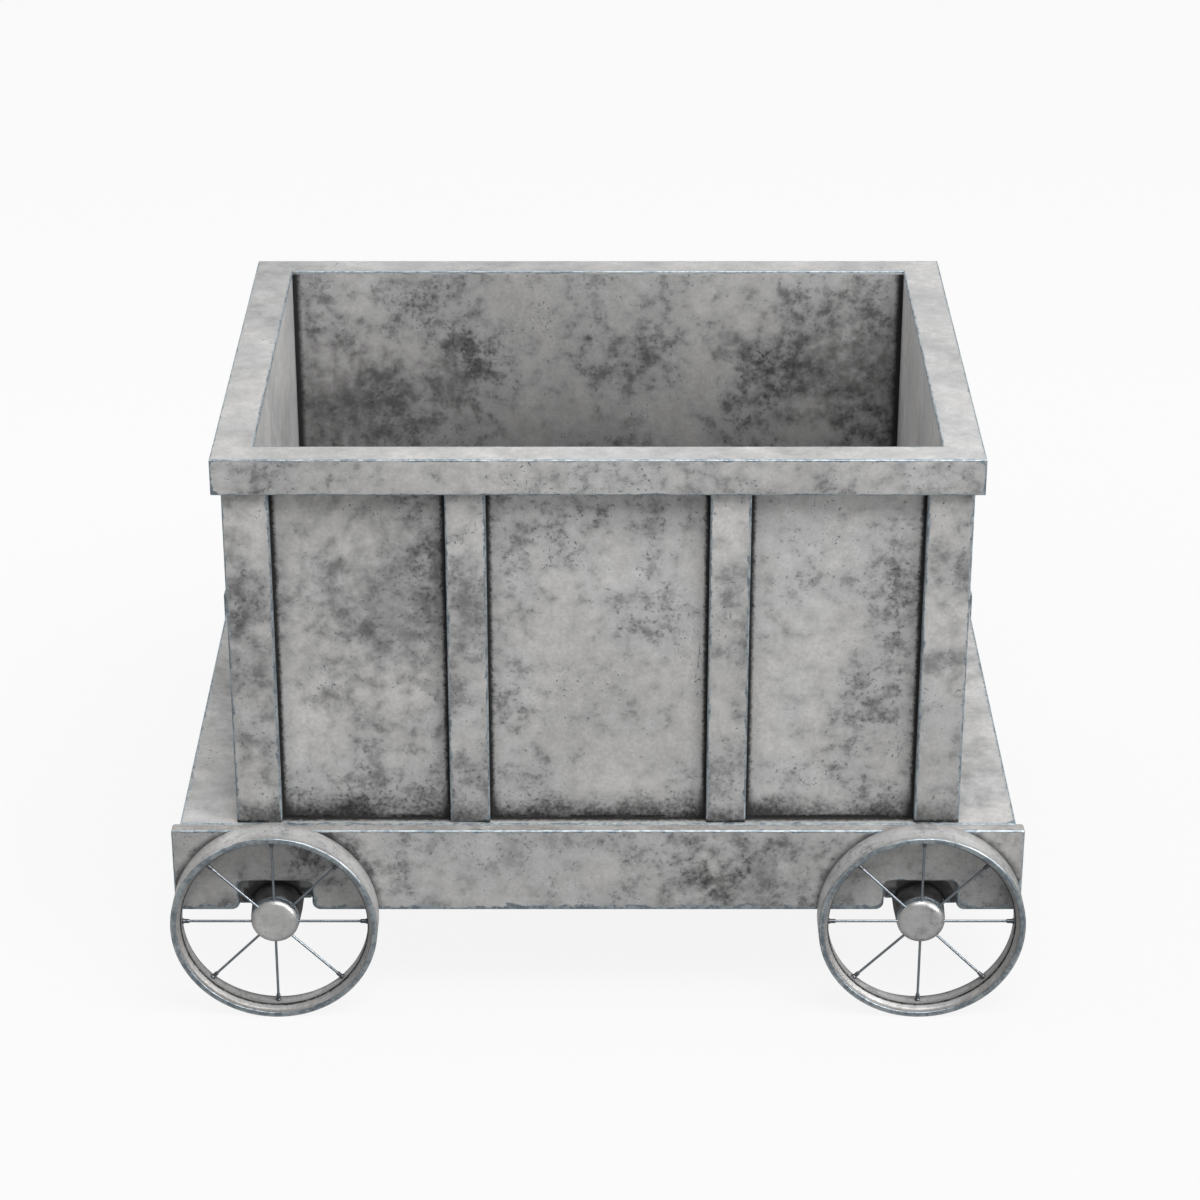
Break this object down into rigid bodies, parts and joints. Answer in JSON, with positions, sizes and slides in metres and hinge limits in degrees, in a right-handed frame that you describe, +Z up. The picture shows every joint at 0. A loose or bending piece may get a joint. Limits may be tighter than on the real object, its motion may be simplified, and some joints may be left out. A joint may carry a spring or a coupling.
{
  "type": "mine cart",
  "caption": "Open rectangular steel tub with a folded top rail and vertical posts, on a flat deck with notched side beams and wire-spoked wheels on turning axles.",
  "frame": {"origin": "on the ground, at the centre of the cart's plan", "axes": "+X along the cart to its front, +Y to its left side, +Z up"},
  "size_m": [1.2388, 0.9062, 0.864],
  "materials": {
    "frame_zinc": "aged galvanised steel, mottled, worn edges",
    "under_zinc": "aged galvanised steel, dirty",
    "panel_zinc": "aged galvanised steel, cloudy mottling",
    "post_zinc": "aged galvanised steel, blue-grey worn edges",
    "rail_zinc": "aged galvanised steel, light, worn edges",
    "housing_iron": "dark rough casting",
    "bush_bronze": "oiled bronze",
    "fastener_steel": "dull steel",
    "axle_steel": "turned steel, oily",
    "rim_zinc": "aged galvanised steel, polished by wear",
    "hub_zinc": "aged galvanised steel",
    "spoke_steel": "blue-grey drawn steel wire"
  },
  "bodies": {
    "cart": {"deck_plate": "frame_zinc", "right_side_beam": "frame_zinc", "left_side_beam": "frame_zinc", "front_end_sill": "frame_zinc", "rear_end_sill": "frame_zinc", "right_sole_bar": "under_zinc", "left_sole_bar": "under_zinc", "front_cross_member": "under_zinc", "rear_cross_member": "under_zinc", "right_wall": "panel_zinc", "left_wall": "panel_zinc", "front_wall": "panel_zinc", "rear_wall": "panel_zinc", "tub_floor": "panel_zinc", "front_right_corner_post": "post_zinc", "front_left_corner_post": "post_zinc", "rear_right_corner_post": "post_zinc", "rear_left_corner_post": "post_zinc", "right_front_middle_post": "post_zinc", "right_rear_middle_post": "post_zinc", "left_front_middle_post": "post_zinc", "left_rear_middle_post": "post_zinc", "front_middle_post": "post_zinc", "rear_middle_post": "post_zinc", "right_top_rail": "rail_zinc", "left_top_rail": "rail_zinc", "front_top_rail": "rail_zinc", "rear_top_rail": "rail_zinc", "front_right_bearing_housing": "housing_iron", "front_left_bearing_housing": "housing_iron", "rear_right_bearing_housing": "housing_iron", "rear_left_bearing_housing": "housing_iron", "front_right_bush": "bush_bronze", "front_left_bush": "bush_bronze", "rear_right_bush": "bush_bronze", "rear_left_bush": "bush_bronze", "housing_bolts": "fastener_steel", "floor_bolts": "fastener_steel", "floor_nuts": "fastener_steel"},
    "front_wheelset": {"front_axle": "axle_steel", "front_axle_collars": "axle_steel", "front_spokes": "spoke_steel", "front_nipples": "spoke_steel", "front_right_rim": "rim_zinc", "front_right_hub": "hub_zinc", "front_right_hub_cap": "hub_zinc", "front_left_rim": "rim_zinc", "front_left_hub": "hub_zinc", "front_left_hub_cap": "hub_zinc"},
    "rear_wheelset": {"rear_axle": "axle_steel", "rear_axle_collars": "axle_steel", "rear_spokes": "spoke_steel", "rear_nipples": "spoke_steel", "rear_right_rim": "rim_zinc", "rear_right_hub": "hub_zinc", "rear_right_hub_cap": "hub_zinc", "rear_left_rim": "rim_zinc", "rear_left_hub": "hub_zinc", "rear_left_hub_cap": "hub_zinc"}
  },
  "joints": [
    {"name": "front_wheelset_spin", "type": "hinge", "parent": "cart", "child": "front_wheelset", "pos_m": [0.4694, 0, 0.15], "axis": [0, 1, 0], "continuous": true},
    {"name": "rear_wheelset_spin", "type": "hinge", "parent": "cart", "child": "rear_wheelset", "pos_m": [-0.4694, 0, 0.15], "axis": [0, 1, 0], "continuous": true}
  ]
}
